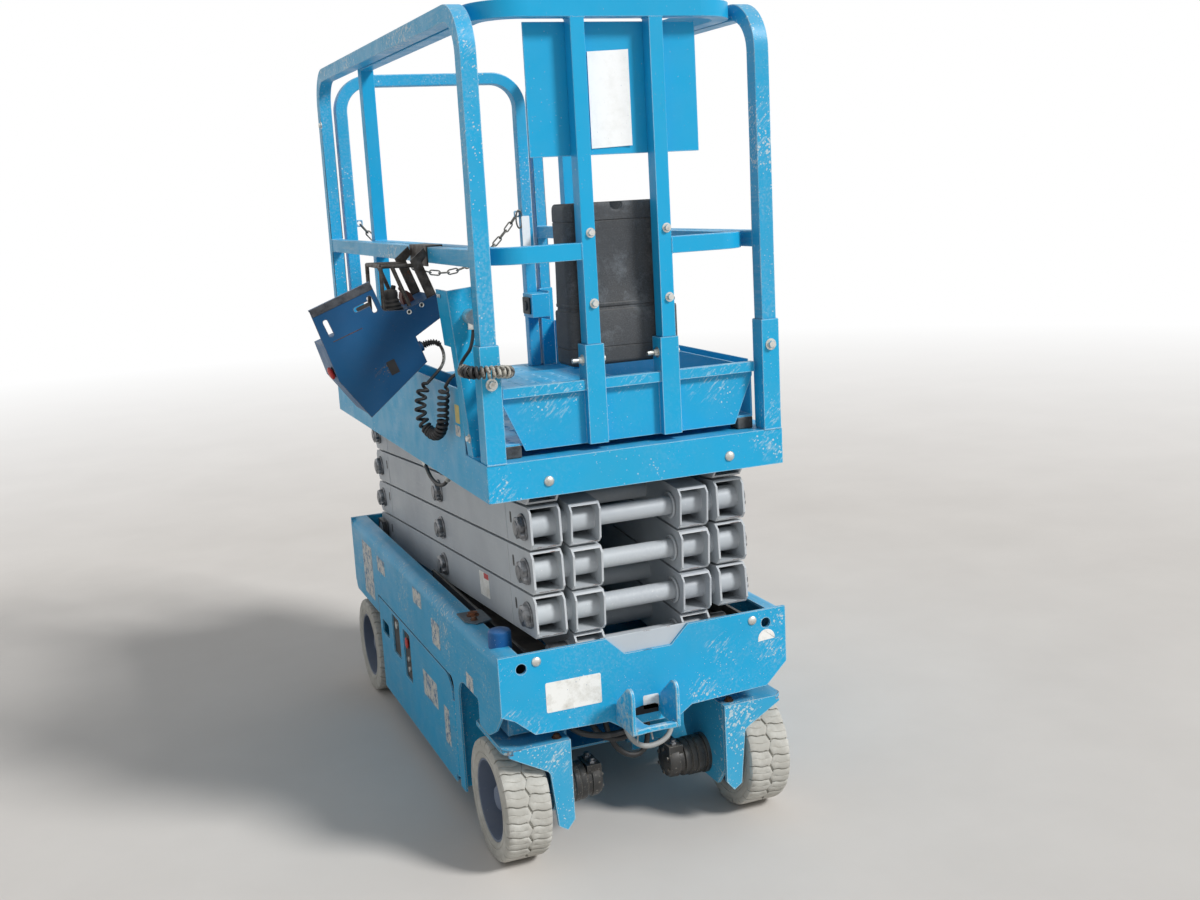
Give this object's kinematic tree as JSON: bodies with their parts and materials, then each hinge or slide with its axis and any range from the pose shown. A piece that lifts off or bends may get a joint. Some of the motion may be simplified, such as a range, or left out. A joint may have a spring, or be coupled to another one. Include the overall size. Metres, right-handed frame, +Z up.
{
  "type": "scissor lift",
  "caption": "Self-propelled scissor lift, lowered: slab chassis on solid tyres, stacked scissor arms, railed platform with a roll-out deck, hanging control box and curly cord.",
  "frame": {"origin": "on the ground under the middle of the outline, the control box's overhang included", "axes": "+Z up, -Y towards the steered end, +X to the right of a viewer who faces that end"},
  "size_m": [1.046, 1.77, 2.012],
  "materials": {
    "blue_paint": "worn machine blue, scratched, with rust at the edges",
    "grey_paint": "light grey paint of the scissor arms, rust on the lower lips",
    "wheel_paint": "pale grey-blue wheel paint, dusty",
    "motor_black": "black, greasy",
    "zinc_steel": "dull zinc-plated steel",
    "rod_chrome": "chromed cylinder rod",
    "worn_steel": "bare steel with brown rust",
    "pale_tyre": "non-marking pale grey solid rubber, dusty",
    "black_plastic": "black moulded plastic",
    "red_plastic": "red mushroom button",
    "cord_black": "black curly cord, worn pale on top",
    "battery_case": "battery cases"
  },
  "bodies": {
    "chassis": {"chassis_frame": "blue_paint", "kingpin_brackets": "blue_paint", "front_tie_down": "blue_paint", "notch_plate": "grey_paint", "stack_tracks": "blue_paint", "rear_spindles": "zinc_steel", "tray_hinges": "blue_paint", "entry_ladder": "blue_paint"},
    "battery_tray": {"tray_right": "blue_paint", "battery_pack": "battery_case"},
    "hydraulic_tray": {"tray_left": "blue_paint", "hydraulic_unit": "blue_paint"},
    "tie_rod_body": {"tie_rod": "zinc_steel"},
    "barrel": {"lift_barrel": "grey_paint"},
    "rod": {"lift_rod": "rod_chrome"},
    "platform": {"platform_deck": "blue_paint", "rail_sockets": "blue_paint", "side_rail_left": "blue_paint", "side_rail_right": "blue_paint", "rear_rail": "blue_paint", "entry_chain": "zinc_steel", "outlet_box": "blue_paint", "controller_bracket": "blue_paint", "cord_connector": "black_plastic", "control_box": "blue_paint", "control_guard": "worn_steel", "joystick": "black_plastic", "stop_button": "red_plastic", "control_cord": "cord_black"},
    "extension": {"extension_deck": "blue_paint", "slide_blocks": "black_plastic", "extension_rails": "blue_paint", "upper_panel": "blue_paint", "document_box": "black_plastic"},
    "steer_left": {"yoke_left": "blue_paint", "drive_motor_left": "motor_black"},
    "wheel_front_left": {"rim_front_left": "wheel_paint", "tyre_front_left": "pale_tyre"},
    "wheel_rear_left": {"rim_rear_left": "wheel_paint", "tyre_rear_left": "pale_tyre"},
    "steer_right": {"yoke_right": "blue_paint", "drive_motor_right": "motor_black"},
    "wheel_front_right": {"rim_front_right": "wheel_paint", "tyre_front_right": "pale_tyre"},
    "wheel_rear_right": {"rim_rear_right": "wheel_paint", "tyre_rear_right": "pale_tyre"},
    "outer_arms_1": {"outer_arm_1": "grey_paint", "pivot_nuts_1": "zinc_steel"},
    "inner_arms_1": {"inner_arm_1": "grey_paint", "base_rollers": "zinc_steel"},
    "outer_arms_2": {"outer_arm_2": "grey_paint", "pivot_nuts_2": "zinc_steel"},
    "inner_arms_2": {"inner_arm_2": "grey_paint"},
    "outer_arms_3": {"outer_arm_3": "grey_paint", "pivot_nuts_3": "zinc_steel"},
    "inner_arms_3": {"inner_arm_3": "grey_paint"},
    "outer_arms_4": {"outer_arm_4": "grey_paint", "pivot_nuts_4": "zinc_steel", "top_rollers": "zinc_steel"},
    "inner_arms_4": {"inner_arm_4": "grey_paint"}
  },
  "joints": [
    {"name": "lift", "type": "hinge", "parent": "chassis", "child": "outer_arms_1", "pos_m": [0.142, 0.728, 0.5275], "axis": [-1, 0, 0], "range_deg": [0, 58]},
    {"name": "stage_1_cross", "type": "hinge", "parent": "outer_arms_1", "child": "inner_arms_1", "pos_m": [0.142, -0.00006, 0.58075], "axis": [-1, 0, 0], "range_deg": [-116.5, 0.5]},
    {"name": "stage_2_front", "type": "hinge", "parent": "outer_arms_1", "child": "inner_arms_2", "pos_m": [0.142, -0.72811, 0.634], "axis": [-1, 0, 0], "range_deg": [-116.5, 0.5]},
    {"name": "stage_2_cross", "type": "hinge", "parent": "inner_arms_2", "child": "outer_arms_2", "pos_m": [0.142, -0.00006, 0.68725], "axis": [-1, 0, 0], "range_deg": [-0.5, 116.5]},
    {"name": "stage_3_front", "type": "hinge", "parent": "outer_arms_2", "child": "inner_arms_3", "pos_m": [0.142, -0.72811, 0.7405], "axis": [-1, 0, 0], "range_deg": [-116.5, 0.5]},
    {"name": "stage_3_cross", "type": "hinge", "parent": "inner_arms_3", "child": "outer_arms_3", "pos_m": [0.142, -0.00006, 0.79375], "axis": [-1, 0, 0], "range_deg": [-0.5, 116.5]},
    {"name": "stage_4_front", "type": "hinge", "parent": "outer_arms_3", "child": "inner_arms_4", "pos_m": [0.142, -0.72811, 0.847], "axis": [-1, 0, 0], "range_deg": [-116.5, 0.5]},
    {"name": "stage_4_cross", "type": "hinge", "parent": "inner_arms_4", "child": "outer_arms_4", "pos_m": [0.142, -0.00006, 0.90025], "axis": [-1, 0, 0], "range_deg": [-0.5, 116.5]},
    {"name": "platform_pivot", "type": "hinge", "parent": "inner_arms_4", "child": "platform", "pos_m": [0.142, 0.728, 0.9535], "axis": [-1, 0, 0], "range_deg": [-0.5, 58.5]},
    {"name": "cylinder_foot", "type": "hinge", "parent": "inner_arms_1", "child": "barrel", "pos_m": [0.142, 0.59835, 0.62452], "axis": [-1, 0, 0], "range_deg": [-0.5, 125.14]},
    {"name": "cylinder_rod", "type": "slide", "parent": "barrel", "child": "rod", "axis": [0, -0.9903, 0.1391], "range_m": [-0.001, 0.755]},
    {"name": "steer_left", "type": "hinge", "parent": "chassis", "child": "steer_left", "pos_m": [-0.15, -0.639, 0.312], "axis": [0, 0, 1], "range_deg": [-38, 38]},
    {"name": "steer_right", "type": "hinge", "parent": "chassis", "child": "steer_right", "pos_m": [0.434, -0.639, 0.312], "axis": [0, 0, 1], "range_deg": [-38.2, 38.2]},
    {"name": "tie_rod_left", "type": "hinge", "parent": "steer_left", "child": "tie_rod_body", "pos_m": [-0.15, -0.549, 0.312], "axis": [0, 0, 1], "range_deg": [-38.2, 38.2]},
    {"name": "wheel_front_left", "type": "hinge", "parent": "steer_left", "child": "wheel_front_left", "pos_m": [-0.182, -0.639, 0.1525], "axis": [1, 0, 0], "continuous": true},
    {"name": "wheel_rear_left", "type": "hinge", "parent": "chassis", "child": "wheel_rear_left", "pos_m": [-0.182, 0.669, 0.1525], "axis": [1, 0, 0], "continuous": true},
    {"name": "wheel_front_right", "type": "hinge", "parent": "steer_right", "child": "wheel_front_right", "pos_m": [0.466, -0.639, 0.1525], "axis": [1, 0, 0], "continuous": true},
    {"name": "wheel_rear_right", "type": "hinge", "parent": "chassis", "child": "wheel_rear_right", "pos_m": [0.466, 0.669, 0.1525], "axis": [1, 0, 0], "continuous": true},
    {"name": "battery_tray_swing", "type": "hinge", "parent": "chassis", "child": "battery_tray", "pos_m": [0.507, -0.3575, 0.2], "axis": [0, 0, -1], "range_deg": [0, 90]},
    {"name": "hydraulic_tray_swing", "type": "hinge", "parent": "chassis", "child": "hydraulic_tray", "pos_m": [-0.223, -0.3575, 0.2], "axis": [0, 0, 1], "range_deg": [0, 90]},
    {"name": "deck_extension", "type": "slide", "parent": "platform", "child": "extension", "axis": [0, -1, 0], "range_m": [0, 0.9]}
  ],
  "couplings": [
    {"joint": "stage_1_cross", "follows": "lift", "ratio": -2},
    {"joint": "stage_2_front", "follows": "lift", "ratio": -2},
    {"joint": "stage_2_cross", "follows": "lift", "ratio": 2},
    {"joint": "stage_3_front", "follows": "lift", "ratio": -2},
    {"joint": "stage_3_cross", "follows": "lift", "ratio": 2},
    {"joint": "stage_4_front", "follows": "lift", "ratio": -2},
    {"joint": "stage_4_cross", "follows": "lift", "ratio": 2},
    {"joint": "platform_pivot", "follows": "lift", "ratio": 1},
    {"joint": "cylinder_foot", "follows": "lift", "ratio": 2.149},
    {"joint": "cylinder_rod", "follows": "lift", "m_per_rad": 0.74481},
    {"joint": "steer_right", "follows": "steer_left", "ratio": 1},
    {"joint": "tie_rod_left", "follows": "steer_left", "ratio": -1}
  ]
}
